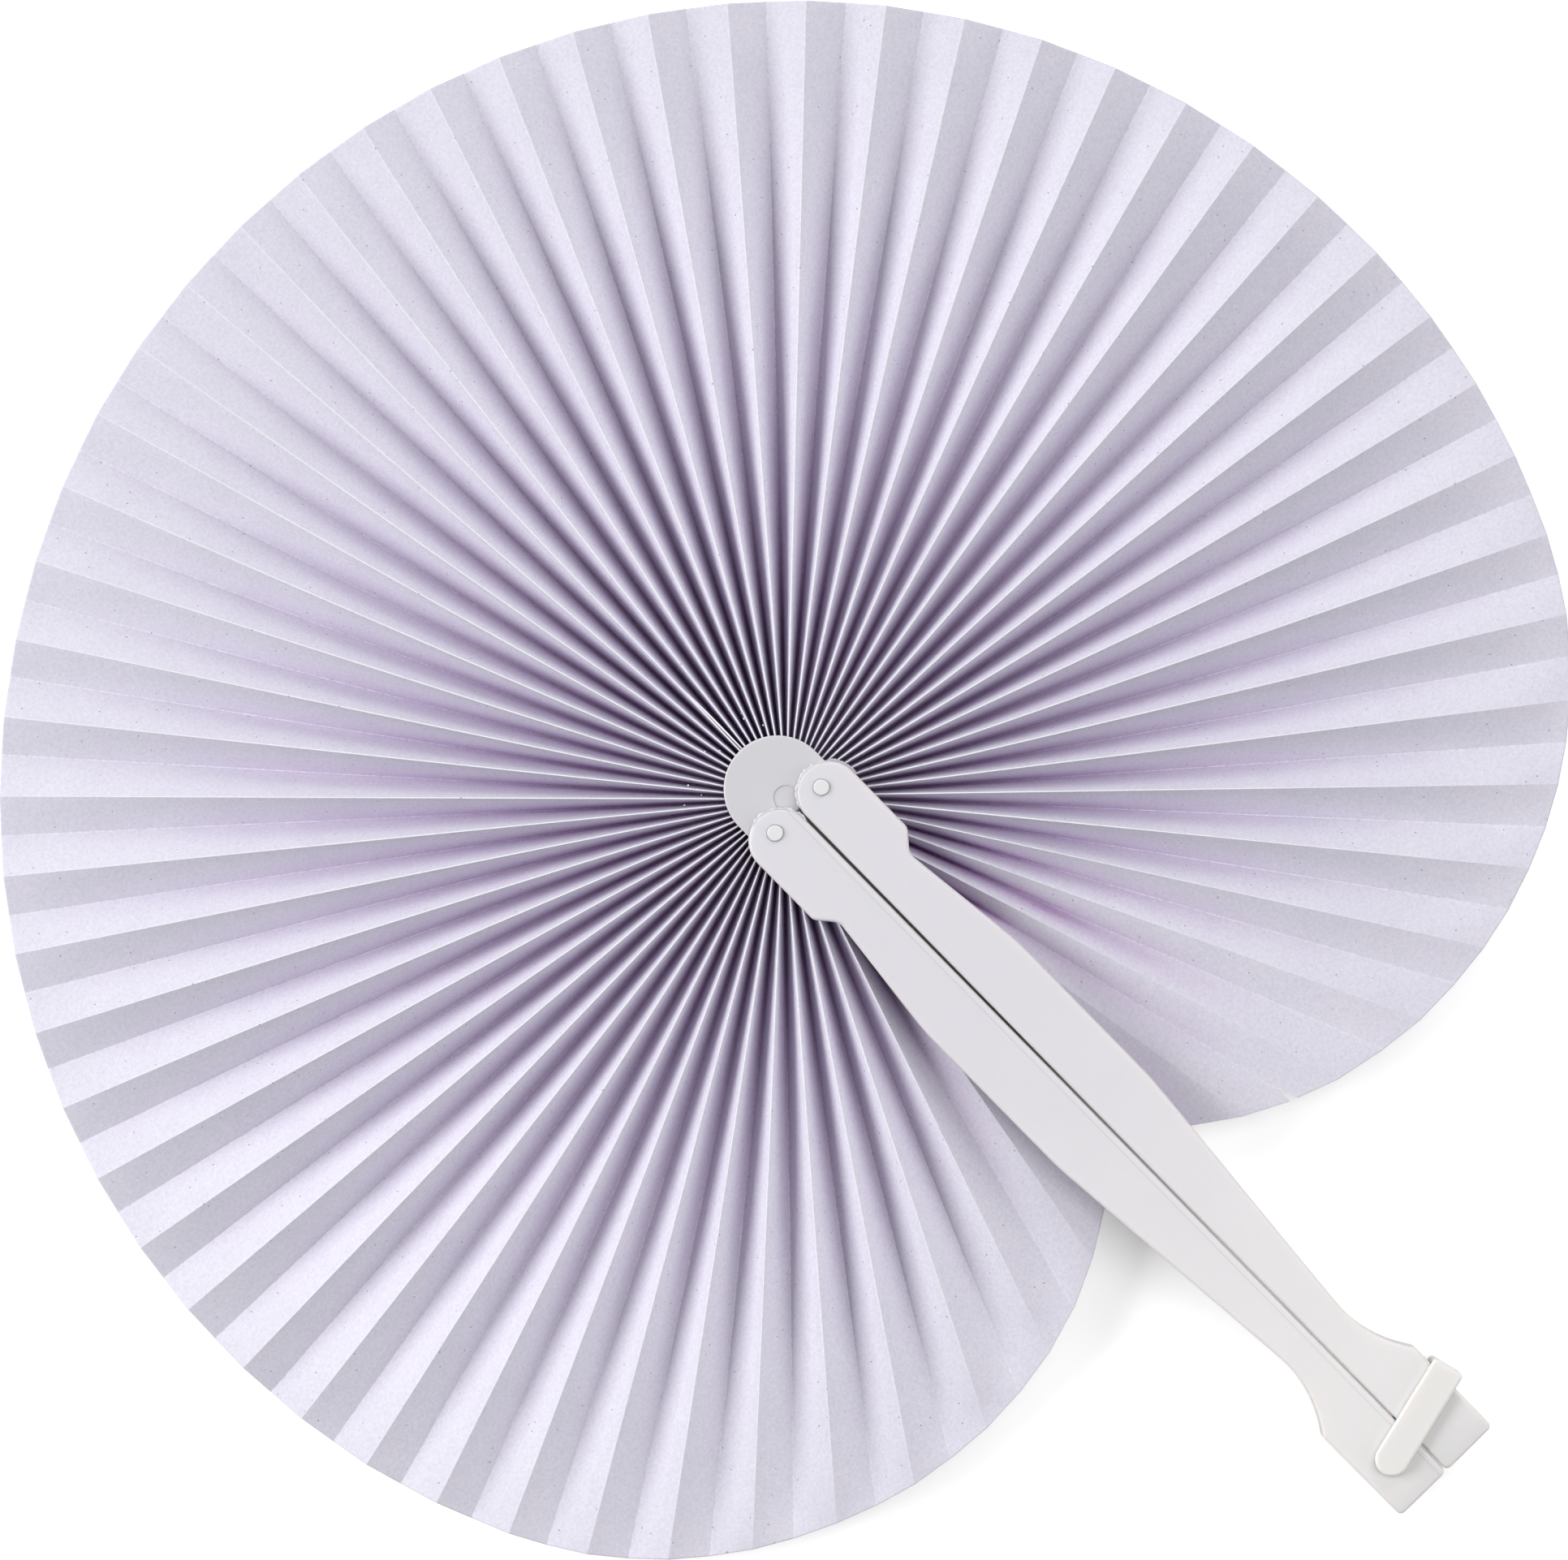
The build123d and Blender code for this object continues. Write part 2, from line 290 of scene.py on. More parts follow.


# The paper's colour by how deep in a narrow fold it is: its own lavender where it lies open,
# then painted shade, darker and more purple, further down; and the colours of its wear, with
# painted highlights on crests and creases
PAPER_AND_PAINTED_FOLD_SHADE = (
    (0.0, (0.745, 0.725, 0.812)),
    (0.1, (0.735, 0.710, 0.806)),
    (0.33, (0.68, 0.62, 0.752)),
    (0.52, (0.565, 0.475, 0.64)),
    (0.66, (0.37, 0.25, 0.44)),
    (0.76, (0.125, 0.045, 0.165)),
    (0.86, (0.018, 0.002, 0.025)),
)
WORN_CREST_HIGHLIGHT = (0.94, 0.93, 0.97)
WORN_CREASE_LIGHT = (0.88, 0.86, 0.93)
PULP_DOT = (0.2, 0.18, 0.23)
# How strong the wear with its painted light and the dots are; a crease's is broken, between a least and
# a most
CREST_WEAR_AND_HIGHLIGHT = 0.9
CREASE_WEAR_AND_LIGHT = (0.15, 0.75)
DOT_STRENGTH = 0.75


def paper_surface(material, point, fibres):
    """The paper's colour before wear: its painted shade by depth in the folds, with cloudy mottling and
    a fine grain.
    """
    clouds = noise(material, point, per_mm=0.12, detail=5, roughness=0.6)
    colour = ramp(material, attribute(material, "painted_fold_shade"), PAPER_AND_PAINTED_FOLD_SHADE)
    mottle = ramp(material, clouds, [(0.3, (0.965, 0.96, 0.975)), (0.7, WHITE)])
    colour = blend_colours(material, 1.0, colour, mottle, "MULTIPLY")
    grain = ramp(material, fibres, [(0.32, (0.86, 0.86, 0.875)), (0.6, WHITE)])
    return blend_colours(material, 1.0, colour, grain, "MULTIPLY")


def paper_wear(material, point, fibres, colour):
    """The same colour with pale crests and creases, worn and with painted light, dark strands and dots
    of pulp.
    """
    crest = calculate(material, "MULTIPLY", attribute(material, "crest"), CREST_WEAR_AND_HIGHLIGHT)
    colour = blend_colours(material, crest, colour, WORN_CREST_HIGHLIGHT)
    for stretch in ((1, 5, 1), (5, 1, 1)):
        strand = noise(material, point, per_mm=1.0, detail=2, stretch=stretch)
        fine = ramp(material, strand, [(0.26, (0.84, 0.83, 0.86)), (0.3, WHITE)])
        colour = blend_colours(material, 1.0, colour, fine, "MULTIPLY")
    broken = map_range(material, fibres, 0.4, 0.6, *CREASE_WEAR_AND_LIGHT)
    crease = calculate(material, "MULTIPLY", attribute(material, "crease"), broken)
    colour = blend_colours(material, crease, colour, WORN_CREASE_LIGHT)
    dots = specks(material, point, per_mm=0.6, size=0.13, rarity=0.62)
    dotted = calculate(material, "MULTIPLY", dots, DOT_STRENGTH)
    return blend_colours(material, dotted, colour, PULP_DOT)


def paper_material():
    """Thin white paper with a lavender cast and painted shade that darkens it down the folds; its crests
    are paler, worn and with a painted highlight.
    """
    material, shader = new_material("pleated_paper")
    point = object_point(material)
    fibres = noise(material, point, per_mm=1.8, detail=6, roughness=0.75)
    colour = paper_surface(material, point, fibres)
    link(material, paper_wear(material, point, fibres, colour), shader.inputs["Base Color"])
    shader.inputs["Roughness"].default_value = 0.85
    shader.inputs["Specular IOR Level"].default_value = 0.2
    link(material, bump(material, fibres, distance=0.025, strength=0.35), shader.inputs["Normal"])
    return material


# The ledge's line of painted shade on the left arm, where its front steps down to the seam: its
# place from the middle, its lean in degrees, half its width and how dark it is painted
LEDGE_X = 1.35
LEDGE_LEAN = 0.12
LEDGE_HALF = 0.16
LEDGE_PAINTED_SHADE = (0.86, 0.85, 0.86)
# Painted shade on the sides and rounded edges of a plastic piece: how much greyer they are painted
# than its front and back, and how level a face is at most where it is a side, and at least where it is a
# front or a back
WARM_PAINTED_SIDE_SHADE = (0.80, 0.745, 0.715)
PALE_PAINTED_SIDE_SHADE = (0.90, 0.885, 0.87)
NO_PAINTED_SIDE_SHADE = WHITE
SIDE_LEVEL, FRONT_LEVEL = 0.3, 0.97
# How far light of each colour goes through the plastic, and how uneven its gloss is
THROUGH_REACH = 1.1
THROUGH_SHARES = (1.0, 0.78, 0.66)
SMOOTHER, ROUGHER = 0.04, 0.06
# The places along the arms from which and to which their painted shade, darker and more lavender
# near the hub, fades so that they get paler, and the heights over the hub's plate between which its stub
# pins get paler
ARM_SHADE_START, ARM_SHADE_END = -50.0, -130.0
PIN_TINT_START, PIN_TINT_END = 0.02, 0.06


def ledge_line(material, point):
    """1 on a fine line along the left arm, where its front steps down to the seam and shade is painted,
    0 elsewhere.
    """
    slope = math.tan(math.radians(LEDGE_LEAN))
    lean = calculate(material, "MULTIPLY", coordinate(material, point, "Y"), slope)
    across = calculate(material, "SUBTRACT", coordinate(material, point, "X"), lean)
    away = calculate(material, "ABSOLUTE", calculate(material, "ADD", across, LEDGE_X * MM))
    return map_range(material, away, LEDGE_HALF * MM, 0.0)


def plastic_colour(material, point, near, far, axis, start, end, sides):
    """Goes from near at start to far at end along one axis, in millimetres, with faint clouds and
    painted shade on its sides."""
    clouds = noise(material, point, per_mm=0.06)
    along = map_range(material, coordinate(material, point, axis), start * MM, end * MM)
    colour = blend_colours(material, along, near, far)
    cloudy = ramp(material, clouds, [(0.35, (0.985, 0.985, 0.985)), (0.65, WHITE)])
    colour = blend_colours(material, 1.0, colour, cloudy, "MULTIPLY")
    normal = node(material, "ShaderNodeNewGeometry").outputs["Normal"]
    level = calculate(material, "ABSOLUTE", coordinate(material, normal, "Z"))
    edge = ramp(material, level, [(SIDE_LEVEL, sides), (FRONT_LEVEL, WHITE)])
    return blend_colours(material, 1.0, colour, edge, "MULTIPLY")


def plastic_material(
    name, near, far, roughness, axis="Y", start=ARM_SHADE_START, end=ARM_SHADE_END, through=0.8,
    sides=WARM_PAINTED_SIDE_SHADE, ledge=False,
):
    """Moulded plastic, a little cloudy and translucent, with a fine skin and a satin gloss; its colour
    goes from near to far along one axis, and its sides get painted shade.
    """
    material, shader = new_material(name)
    point = object_point(material)
    skin = noise(material, point, per_mm=3.0)
    colour = plastic_colour(material, point, near, far, axis, start, end, sides)
    # Painted shade along the left arm's ledge
    if ledge:
        colour = blend_colours(material, ledge_line(material, point), colour, LEDGE_PAINTED_SHADE, "MULTIPLY")
    link(material, colour, shader.inputs["Base Color"])
    rough = map_range(material, skin, 0.0, 1.0, to_low=roughness - SMOOTHER, to_high=roughness + ROUGHER)
    link(material, rough, shader.inputs["Roughness"])
    shader.inputs["Specular IOR Level"].default_value = 0.4
    shader.inputs["Subsurface Weight"].default_value = through
    shader.inputs["Subsurface Radius"].default_value = THROUGH_SHARES
    shader.inputs["Subsurface Scale"].default_value = THROUGH_REACH * MM
    link(material, bump(material, skin, distance=0.01, strength=0.25), shader.inputs["Normal"])
    return material


# Paper leaf

def from_back(angle, radius):
    """The plan place at an angle from +Y, anticlockwise in degrees, and at a radius."""
    turn = math.radians(angle)
    return np.array((-radius * math.sin(turn), radius * math.cos(turn)))


rim_pitch = STRIP_WIDTH * math.cos(math.radians(RIM_SLOPE))
nominal_strip = math.degrees(2 * math.asin(rim_pitch / LEAF_RADIUS / 2))
last_fold = round((HALF_SWEEP - END_SPREAD) / nominal_strip)
strip_angle = (HALF_SWEEP - END_SPREAD) / last_fold
glued_edge = last_fold + 1

draws = random.Random(JITTER_SEED)
jitter = {fold: draws.uniform(-1, 1) for fold in range(-last_fold + 2, last_fold - 1)}
lift = {fold: draws.uniform(-1, 1) for fold in range(-last_fold + 2, last_fold - 1)}
drift_folds = [DRIFT_STEP * (i - len(FOLD_DRIFT) // 2) for i in range(len(FOLD_DRIFT))]


def drift_at(fold, drifts):
    """The drift at a fold, even between the folds that the list is for, and none at both ends."""
    return float(np.interp(fold, [-last_fold, *drift_folds, last_fold], [0, *drifts, 0]))


def fold_angle(fold):
    """How far round from +Y a fold stands, in degrees; the folds open wider towards both ends."""
    past = max(abs(fold) - (last_fold - END_STRIPS), 0) / END_STRIPS
    even = strip_angle * fold + math.copysign(END_SPREAD, fold) * past**3
    return even + drift_at(fold, FOLD_DRIFT) + FOLD_JITTER * jitter.get(fold, 0)


def rim_point(fold):
    """The plan place of a fold at the rim; both edges of the sheet end on the glue line."""
    along = from_back(fold_angle(fold) + LEAF_TURN, 1)
    ahead = RIM_SHIFT[0] * along[0] + RIM_SHIFT[1] * along[1]
    aside = RIM_SHIFT[0] * along[1] - RIM_SHIFT[1] * along[0]
    run = STRIP_WIDTH * max(abs(fold) - (last_fold - END_STRIPS), 0)
    drop = END_ROUND_RADIUS - math.sqrt(END_ROUND_RADIUS**2 - run**2)
    radius = ahead + math.sqrt(LEAF_RADIUS**2 - aside**2) - drop + drift_at(fold, RIM_DRIFT)
    if abs(fold) == glued_edge:
        return np.array((-math.copysign(GLUE_LINE, fold), LEAF_CENTRE[1] - radius))
    return np.array(LEAF_CENTRE) + radius * along


def inner_point(fold):
    """The plan place of a fold at the hub's core."""
    side = math.copysign(1, fold)
    if abs(fold) == glued_edge:
        return np.array((-side * GLUE_INNER, -CORE_DROP - math.sqrt(CORE_RADIUS**2 - GLUE_INNER**2)))
    angle = fold_angle(fold)
    past = max(abs(angle) - SQUEEZE_START, 0) / (HALF_SWEEP - SQUEEZE_START)
    return from_back(angle - side * INNER_SQUEEZE * past**2, CORE_RADIUS) - np.array((0, CORE_DROP))


def fold_plan(folds, stations):
    """The plan place of each fold at each station, and the direction across each fold."""
    inner = np.array([inner_point(f) for f in folds])
    rim = np.array([rim_point(f) for f in folds])
    along = rim - inner
    along /= np.linalg.norm(along, axis=1)[:, None]
    side = np.stack((-along[:, 1], along[:, 0]), axis=1)
    return inner[None] + (rim - inner)[None] * stations[:, None, None], side


def fold_spread(plan, side):
    """How wide the strips beside each fold are, seen from the front: the mean of both."""
    ahead = np.abs(np.einsum("sfk,fk->sf", plan[:, 1:] - plan[:, :-1], side[:-1]))
    behind = np.abs(np.einsum("sfk,fk->sf", plan[:, 1:] - plan[:, :-1], side[1:]))
    spread = np.empty(plan.shape[:2])
    spread[:, 1:-1] = (behind[:, :-1] + ahead[:, 1:]) / 2
    spread[:, 0] = ahead[:, 0]
    spread[:, -1] = behind[:, -1]
    return spread


def leaf_grid(stations):
    """The folds at each station: where they are, how high they stand and how much painted shade they
    get.
    """
    folds = list(range(-glued_edge, glued_edge + 1))
    plan, side = fold_plan(folds, stations)
    spread = fold_spread(plan, side)
    depth = np.sqrt(np.maximum(STRIP_WIDTH**2 - spread**2, LEAST_PLEAT**2))
    pulled = np.clip((-np.array(folds) - FLAT_FROM) / FLAT_FOLDS, 0, 1)
    tugged = np.clip((np.array(folds) - PULL_FROM) / PULL_FOLDS, 0, 1)
    flat = FLAT_SHARE * pulled + PULL_SHARE * tugged
    kept = 1 - flat[None] * np.clip((stations - FLAT_START_SHARE) / FLAT_RUN_SHARE, 0, 1)[:, None]
    depth *= kept
    up = np.array([1 if f % 2 == 0 else -1 for f in folds])
    height = up * depth / 2
    height += HEIGHT_JITTER * np.array([lift.get(f, 0) for f in folds]) * stations[:, None]
    height[:, 0] = height[:, 1] + up[0] * depth[:, 0]
    height[:, -1] = height[:, -2] + up[-1] * depth[:, -1]
    # Painted shade for each fold: more where its strips are narrow, kept on the flattened folds as if
    # they were not flattened, and more beside the right arm
    shade = (1 - np.minimum(spread / STRIP_WIDTH, 1)) * (1 + FLAT_SHADE * pulled[None]) / kept
    return SimpleNamespace(
        plan=plan, height=height, side=side, spread=spread, depth=depth, up=up, shade=shade,
    )


# Across a strip: half widths of the crest and of the crease, and the places of the columns
# between them as shares from the crest; the last share of the strip curves into the crease
RIM_CREST_HALF = 0.035
HUB_CREST_HALF = 0.09
CREASE_HALF = 0.05
WIDEST_HALF_SHARE = 0.2
COLUMN_SHARES = (0.012, 0.2, 0.45, 0.68, 0.82, 0.92, 0.98)
TORN_SHARES = (0.012, 0.2, 0.45, 0.68, 0.82, 1 - TEAR_HALF / STRIP_WIDTH, 0.98)
CURVED_SHARE = 0.2
CURVE_STRENGTH = 0.5
# How strong the pale line of a crease, worn and painted lighter, is at the rim, and how it fades in deep
# painted shade
RIM_CREASE_SHARE = 0.5
FADE_FROM_SHARE, FADE_RATE, FADED_SHARE = 0.4, 2.5, 0.25


def tear_rim(points, mouth, side):
    """Pulls the rim in to a narrow notch at one fold."""
    inward = np.array((-side[1], side[0]))
    rim = points[-1, :, :2].copy()
    away = np.abs((rim - mouth) @ side)
    near = np.abs((rim - mouth) @ inward) < 2 * TEAR_DEPTH
    pull = np.where(near, TEAR_DEPTH * np.maximum(1 - away / TEAR_HALF, 0), 0)
    for row in range(TORN_ROWS):
        behind = np.hypot(*(rim - points[-1 - row, :, :2]).T)
        moved = np.maximum(pull + row * TEAR_HALF / 2 - behind, 0) * (pull > 0)
        points[-1 - row, :, :2] += moved[:, None] * inward


def fold_edges(grid, outer, skin):
    """The two lines, half a crest or crease to each side of every fold, that its skin passes."""
    slope = grid.depth / grid.spread
    steep = (grid.depth / STRIP_WIDTH) ** 3
    crest_half = RIM_CREST_HALF * (1 - steep) + HUB_CREST_HALF * steep
    half = np.minimum(np.where(outer[None], crest_half, CREASE_HALF), grid.spread * WIDEST_HALF_SHARE)
    rise_outer = skin * PAPER / 2 * (STRIP_WIDTH - grid.depth) / grid.spread
    rise_inner = skin * (PAPER / 2 * STRIP_WIDTH / grid.spread + half * slope)
    rise = np.where(outer[None], rise_outer, rise_inner)
    for end in (0, -1):
        rise[:, end] = skin * PAPER / 2 * grid.spread[:, end] / STRIP_WIDTH
    z = (MID_DEPTH + grid.height + rise)[..., None]
    reach = grid.side[None] * half[..., None]
    before = np.concatenate((grid.plan - reach, z), axis=2)
    after = np.concatenate((grid.plan + reach, z), axis=2)
    return before, after


def column_shares(fold, from_crest, skin):
    """The places of the columns across the strip after a fold, as shares from this fold."""
    torn = fold in (TORN_FOLD - 1, TORN_FOLD)
    if torn and skin == -1:
        from_crest = not from_crest
    shares = TORN_SHARES if torn else COLUMN_SHARES
    return shares if from_crest else [1 - share for share in reversed(shares)]


def strip_columns(grid, before, after, outer, f, skin):
    """The columns between one fold and the next; they curve into the crease."""
    made = []
    for share in column_shares(f - glued_edge, outer[f], skin):
        point = after[:, f] * (1 - share) + before[:, f + 1] * share
        to_crease = 1 - share if outer[f] else share
        local = grid.depth[:, f] * (1 - share) + grid.depth[:, f + 1] * share
        if to_crease < CURVED_SHARE:
            curve = to_crease**2 / (2 * CURVED_SHARE) + CURVED_SHARE / 2 - to_crease
            point[:, 2] += skin * CURVE_STRENGTH * local * curve * (local / STRIP_WIDTH) ** 2
        shaded = grid.shade[:, f] * (1 - share) + grid.shade[:, f + 1] * share
        made.append((point, 0.0, 0.0, local, shaded))
    return made


def leaf_skin(grid, skin):
    """Rows of points over the leaf's front (skin 1) or back (skin -1), with what its paint reads:
    the painted shade by how deep in a narrow fold a point is, and how near a crest or a crease it is."""
    outer = grid.up == skin
    folds = len(outer)
    before, after = fold_edges(grid, outer, skin)
    columns = [(before[:, 0], 0.0, 0.0, grid.depth[:, 0], grid.shade[:, 0])]
    for f in range(folds):
        marks = (float(outer[f]), float(not outer[f]), grid.depth[:, f], grid.shade[:, f])
        if f > 0:
            columns.append((before[:, f], *marks))
        columns.append((after[:, f], *marks))
        if f < folds - 1:
            columns += strip_columns(grid, before, after, outer, f, skin)
    points, crests, creases, depths, shades = zip(*columns)
    points = np.stack(points, axis=1)
    torn = glued_edge + TORN_FOLD
    tear_rim(points, grid.plan[-1, torn], grid.side[torn])
    local = np.stack(depths, axis=1)
    shade = np.stack(shades, axis=1)
    # Painted shade: darker further down a narrow fold, and more where the fold is narrow
    painted_fold_shade = (local / 2 - skin * (points[..., 2] - MID_DEPTH)) / STRIP_WIDTH * shade
    # Extra painted shade on the folds pulled flat beside the right arm
    painted_fold_shade += FLAT_EXTRA_SHADE * np.clip((shade - 1) / 2, 0, 1)
    # Crest lines: wear, and a painted highlight that is stronger where the folds are deeper
    crest = np.array(crests) * local / STRIP_WIDTH
    # Crease lines: wear, and painted light over the shade at the crease's bottom
    crease = np.array(creases) * (RIM_CREASE_SHARE + (1 - RIM_CREASE_SHARE) * local / STRIP_WIDTH)
    crease *= np.clip(1 - FADE_RATE * (painted_fold_shade - FADE_FROM_SHARE), FADED_SHARE, 1)
    return points, np.clip(painted_fold_shade, 0, 1), crest, crease


def grid_faces(rows, columns, start, flip):
    """The quads of a grid of points whose first is number start."""
    r, c = np.meshgrid(np.arange(rows - 1), np.arange(columns - 1), indexing="ij")
    a = start + r * columns + c
    quads = np.stack((a, a + 1, a + 1 + columns, a + columns), axis=-1).reshape(-1, 4)
    return quads[:, ::-1] if flip else quads


def grid_border(rows, columns):
    """The points round the edge of a grid, in order."""
    border = list(range(columns))
    border += [r * columns + columns - 1 for r in range(1, rows)]
    border += [(rows - 1) * columns + c for c in range(columns - 2, -1, -1)]
    border += [r * columns for r in range(rows - 2, 0, -1)]
    return np.array(border)


def make_mesh(name, points, faces, flat_from=None):
    """A mesh in metres from points in millimetres; faces from flat_from on are shaded flat."""
    mesh = bpy.data.meshes.new(name)
    mesh.from_pydata([tuple(p) for p in np.asarray(points) * MM], [], [tuple(f) for f in faces])
    smooth = len(faces) if flat_from is None else flat_from
    mesh.polygons.foreach_set("use_smooth", [i < smooth for i in range(len(faces))])
    mesh.update()
    made = bpy.data.objects.new(name, mesh)
    bpy.context.scene.collection.objects.link(made)
    return made


def paint(mesh, name, values):
    """A number at each point of a mesh, for its material to read."""
    numbers = np.ravel(values).astype(np.float32)
    mesh.attributes.new(name, "FLOAT", "POINT").data.foreach_set("value", numbers)


def paper_leaf():
    """The pleated leaf: a front and a back skin, joined all round their edge."""
    near = np.linspace(0, NEAR_SHARE, NEAR_ROWS, endpoint=False)
    middle = np.linspace(NEAR_SHARE, FAR_SHARE, MIDDLE_ROWS, endpoint=False)
    far = np.linspace(FAR_SHARE, 1, FAR_ROWS, endpoint=False)
    stations = np.concatenate((near, middle, far, (1 - RIM_EDGE / LEAF_RADIUS, 1)))
    grid = leaf_grid(stations)
    skins = [leaf_skin(grid, skin) for skin in (1, -1)]
    rows, columns = skins[0][0].shape[:2]
    points = np.concatenate([skin[0].reshape(-1, 3) for skin in skins])
    second = rows * columns
    faces = [grid_faces(rows, columns, 0, True), grid_faces(rows, columns, second, False)]
    skin_faces = len(faces[0]) + len(faces[1])
    a = grid_border(rows, columns)
    b = np.roll(a, -1)
    faces.append(np.stack((a, b, b + second, a + second), axis=1))
    leaf = make_mesh("paper_leaf_detailed", points, np.concatenate(faces), skin_faces)
    for i, name in enumerate(("painted_fold_shade", "crest", "crease"), start=1):
        paint(leaf.data, name, np.concatenate([skin[i].ravel() for skin in skins]))
    return leaf


# Moulding flash round the arms' heads: the steps and sides of its mesh, how many peaks and swells
# it has and how sharp they are, its half height, how much it swells and wanders, its root in the
# head's wall and the share of its length over which each end runs out
FLASH_STEPS, FLASH_SIDES = 150, 8
FLASH_PEAKS, PEAK_SHARPNESS = 26, 1.8
FLASH_SWELLS, SWELL_SHARPNESS = 16, 1.0
FLASH_HALF = 0.16
FLASH_SWELL = 0.22
FLASH_WANDER = 0.12
FLASH_ROOT = 0.35
FLASH_END_SHARE = 0.125


def wave(draw, count, sharpness):
    """A random function over 0 to 1 with values between 0 and 1; sharper ones have thinner peaks."""
    knots = [draw.random() for _ in range(count)]
    places = np.linspace(0, 1, count)
    return lambda t: float(np.interp(t, places, knots)) ** sharpness


def ring_faces(start, rings, sides):
    """The quads between rings of points whose first is number start."""
    faces = []
    for ring in range(rings):
        for k in range(sides):
            a = start + ring * sides + k
            b = start + ring * sides + (k + 1) % sides
            faces.append((a, b, b + sides, a + sides))
    return faces


def head_flash(name, side, start, end, seed, ragged=0.36, least=0.1, sink=0.62):
    """A thin ragged bead of plastic along the edge of an arm's head, between two angles, which
    stands least to ragged millimetres proud and lies sink behind the arm's front."""
    draw = random.Random(seed)
    jut = wave(draw, FLASH_PEAKS, PEAK_SHARPNESS)
    tall = wave(draw, FLASH_SWELLS, SWELL_SHARPNESS)
    centre = np.array((side * (PIN_X + HEAD_SIDE), -PIN_DROP - HEAD_DROP))
    points = []
    for step in range(FLASH_STEPS + 1):
        t = step / FLASH_STEPS
        turn = math.radians(start + (end - start) * t)
        out = np.array((math.cos(turn), math.sin(turn)))
        proud = min(1, t / FLASH_END_SHARE, (1 - t) / FLASH_END_SHARE) * (least + ragged * jut(t))
        half_height = FLASH_HALF + FLASH_SWELL * tall(t)
        middle = ARM_FRONT - sink + FLASH_WANDER * tall(1 - t)
        for k in range(FLASH_SIDES):
            turn = 2 * math.pi * k / FLASH_SIDES
            reach = HEAD_RADIUS - FLASH_ROOT + (FLASH_ROOT + proud) * (1 + math.cos(turn)) / 2
            x, y = centre + out * reach
            points.append((x, y, middle + half_height * math.sin(turn)))
    faces = [(b, a, d, c) for a, b, c, d in ring_faces(0, FLASH_STEPS, FLASH_SIDES)]
    faces.append(tuple(range(FLASH_SIDES)))
    faces.append(tuple(FLASH_STEPS * FLASH_SIDES + k for k in reversed(range(FLASH_SIDES))))
    return make_mesh(name, points, faces)


# The pressed fold: the crest it lies against, its start and end as shares of the way to the rim,
# its steps, its gap to the crest, its half width and how much that swells, the height of its top
# and how much that falls, its depth and its bevel
PRESSED_FOLD = 0
PRESSED_START_SHARE, PRESSED_END_SHARE = 0.03, 0.16
PRESSED_STEPS = 14
PRESSED_GAP = 0.4
PRESSED_HALF, PRESSED_SWELL = 0.1, 0.05
PRESSED_TOP, PRESSED_FALL = 7.78, 0.1
PRESSED_DEPTH = 1.6
PRESSED_BEVEL = 0.12


def pressed_fold():
    """A second, narrow pleat pressed against the +X side of one crest beside the hub."""
    inner, rim = inner_point(PRESSED_FOLD), rim_point(PRESSED_FOLD)
    along = (rim - inner) / np.linalg.norm(rim - inner)
    aside = np.array((along[1], -along[0]))
    points = []
    for step in range(PRESSED_STEPS + 1):
        t = step / PRESSED_STEPS
        share = PRESSED_START_SHARE + (PRESSED_END_SHARE - PRESSED_START_SHARE) * t
        here = inner + (rim - inner) * share
        gap = PRESSED_GAP * (1 - t**3)
        wide = PRESSED_HALF + PRESSED_SWELL * math.sin(math.pi * t)
        crest = PRESSED_TOP - PRESSED_FALL * t
        near_side = ((-wide, PRESSED_DEPTH), (-wide, 0))
        far_side = ((wide, PRESSED_BEVEL), (wide, PRESSED_DEPTH))
        for out, down in near_side + far_side:
            x, y = here + aside * (gap + out)
            points.append((x, y, crest - down))
    faces = ring_faces(0, PRESSED_STEPS, 4)
    faces.append((3, 2, 1, 0))
    faces.append(tuple(4 * PRESSED_STEPS + k for k in range(4)))
    made = make_mesh("pressed_fold", points, faces, 0)
    paint(made.data, "painted_fold_shade", np.zeros(len(points)))
    # The top edges of the pressed fold get the crests' wear and painted highlight
    paint(made.data, "crest", np.tile((0.0, 1.0, 1.0, 0.0), PRESSED_STEPS + 1))
    paint(made.data, "crease", np.zeros(len(points)))
    return made


# The glue specks: the fold that each sits on and its distance from the folds' middle, which is
# a drop under the hub's origin
SPECK_PLACES = (
    (-10, 11.5), (-6, 13.6), (-6, 14.6), (4, 12.3), (6, 14.2), (14, 15.2), (16, 13.0), (18, 15.8),
)
SPECK_DROP = 1.2
SPECK_HEIGHT = 7.72
# Their least and greatest radius, how uneven it is, the width left at their tips and their mesh
SPECK_SEED = 11
SPECK_LEAST, SPECK_MOST = 0.1, 0.2
SPECK_UNEVEN = 0.3
SPECK_TIP = 0.004
SPECK_RINGS, SPECK_SIDES = 4, 7


